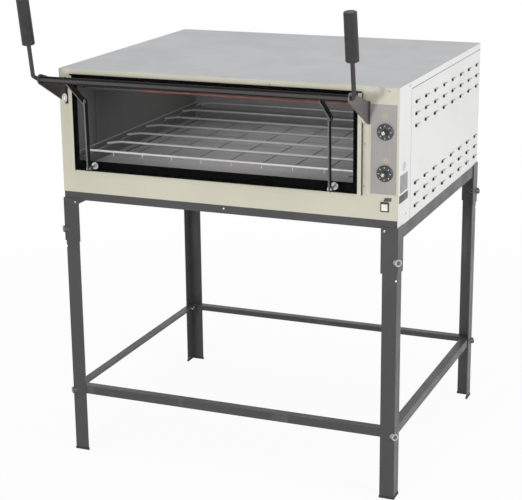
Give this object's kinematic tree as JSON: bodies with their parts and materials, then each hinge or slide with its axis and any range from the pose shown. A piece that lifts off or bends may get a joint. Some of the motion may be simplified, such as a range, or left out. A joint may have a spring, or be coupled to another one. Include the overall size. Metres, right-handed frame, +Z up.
{
  "type": "gas deck oven",
  "caption": "Gas pizza oven on an angle-steel stand: louvred sheet cabinet, lift-up glass door raised by two levers, wire rack over a tiled hearth, dial controls.",
  "frame": {"origin": "on the floor, in the middle of the whole part's footprint, levers and gas inlet included", "axes": "+Z up, -Y towards the glass door, +X towards the control side"},
  "size_m": [1.2294, 1.2826, 1.6495],
  "materials": {
    "stand_paint": "satin dark grey powder coat",
    "ivory_paint": "satin warm ivory paint",
    "white_paint": "satin white paint",
    "top_paint": "satin light grey sheet",
    "liner_steel": "dull heat-darkened sheet",
    "bare_steel": "brushed",
    "bright_chrome": "bright plated",
    "hearth_stone": "matt refractory tile",
    "wool": "matt mineral wool",
    "glow": "heat-reddened tube",
    "gas_steel": "satin",
    "brass": "satin",
    "label_grey": "satin film",
    "black_plastic": "matt",
    "white_plastic": "gloss",
    "clear_glass": "clear, toughened",
    "black_enamel": "gloss fired-on enamel",
    "gear_paint": "satin dark grey powder coat",
    "grip_plastic": "matt"
  },
  "bodies": {
    "cabinet": {"leg_sleeves_front": "stand_paint", "leg_sleeves_rear": "stand_paint", "leg_front_left": "stand_paint", "leg_front_right": "stand_paint", "leg_rear_left": "stand_paint", "leg_rear_right": "stand_paint", "foot_caps": "black_plastic", "front_rail": "stand_paint", "rear_rail": "stand_paint", "side_rails": "stand_paint", "lower_rails_across": "stand_paint", "lower_rails_along": "stand_paint", "leg_bolts": "bare_steel", "leg_nuts": "bare_steel", "stand_screws": "bright_chrome", "base_pan": "bare_steel", "front_panel": "ivory_paint", "side_strip_left": "white_paint", "side_strip_right": "white_paint", "louvre_cover_left": "white_paint", "louvre_cover_right": "white_paint", "top_cover": "top_paint", "back_panel": "top_paint", "liner_sides": "liner_steel", "liner_back": "liner_steel", "liner_top": "liner_steel", "hearth_plate": "liner_steel", "hearth_tiles": "hearth_stone", "rack_runners": "liner_steel", "rack": "bright_chrome", "top_element": "glow", "insulation": "wool", "flue_duct": "bare_steel", "burners": "bare_steel", "burner_rests": "bare_steel", "gas_manifold": "gas_steel", "gas_valves": "brass", "control_label": "label_grey", "switch_bezel": "black_plastic", "guide_left": "ivory_paint", "guide_right": "ivory_paint", "panel_rivets": "ivory_paint", "tube_brackets": "gear_paint", "bracket_bolts": "bright_chrome"},
    "door": {"door_glass": "clear_glass", "glass_border": "black_enamel", "door_forks": "bright_chrome", "fork_nuts": "bright_chrome"},
    "left_link": {"link_left": "gear_paint"},
    "right_link": {"link_right": "gear_paint"},
    "levers": {"lever_tube": "gear_paint", "crank_arms": "gear_paint", "lever_rods": "gear_paint", "grip_left": "grip_plastic", "grip_right": "grip_plastic"},
    "upper_dial": {"knob_upper": "black_plastic", "spindle_upper": "bright_chrome"},
    "lower_dial": {"knob_lower": "black_plastic", "spindle_lower": "bright_chrome"},
    "rocker": {"switch_rocker": "white_plastic"}
  },
  "joints": [
    {"name": "lever_turn", "type": "hinge", "parent": "cabinet", "child": "levers", "pos_m": [-0.036, -0.563, 1.379], "axis": [1, 0, 0], "range_deg": [0, 90]},
    {"name": "door_lift", "type": "slide", "parent": "cabinet", "child": "door", "axis": [0, 0, 1], "range_m": [0, 0.1998]},
    {"name": "left_link_turn", "type": "hinge", "parent": "door", "child": "left_link", "pos_m": [-0.4685, -0.446, 1.063], "axis": [1, 0, 0], "range_deg": [0, 6.09]},
    {"name": "right_link_turn", "type": "hinge", "parent": "door", "child": "right_link", "pos_m": [0.3915, -0.446, 1.063], "axis": [1, 0, 0], "range_deg": [0, 6.09]},
    {"name": "upper_dial_turn", "type": "hinge", "parent": "cabinet", "child": "upper_dial", "pos_m": [0.5555, -0.4, 1.247], "axis": [0, -1, 0], "range_deg": [0, 270]},
    {"name": "lower_dial_turn", "type": "hinge", "parent": "cabinet", "child": "lower_dial", "pos_m": [0.5555, -0.4, 1.114], "axis": [0, -1, 0], "range_deg": [0, 270]},
    {"name": "switch_rock", "type": "hinge", "parent": "cabinet", "child": "rocker", "pos_m": [0.556, -0.383, 1.005], "axis": [1, 0, 0], "range_deg": [-12, 0]}
  ],
  "couplings": [
    {"joint": "door_lift", "follows": "lever_turn", "m_per_rad": 0.12722},
    {"joint": "left_link_turn", "follows": "lever_turn", "ratio": 0.067721},
    {"joint": "right_link_turn", "follows": "lever_turn", "ratio": 0.067721}
  ]
}
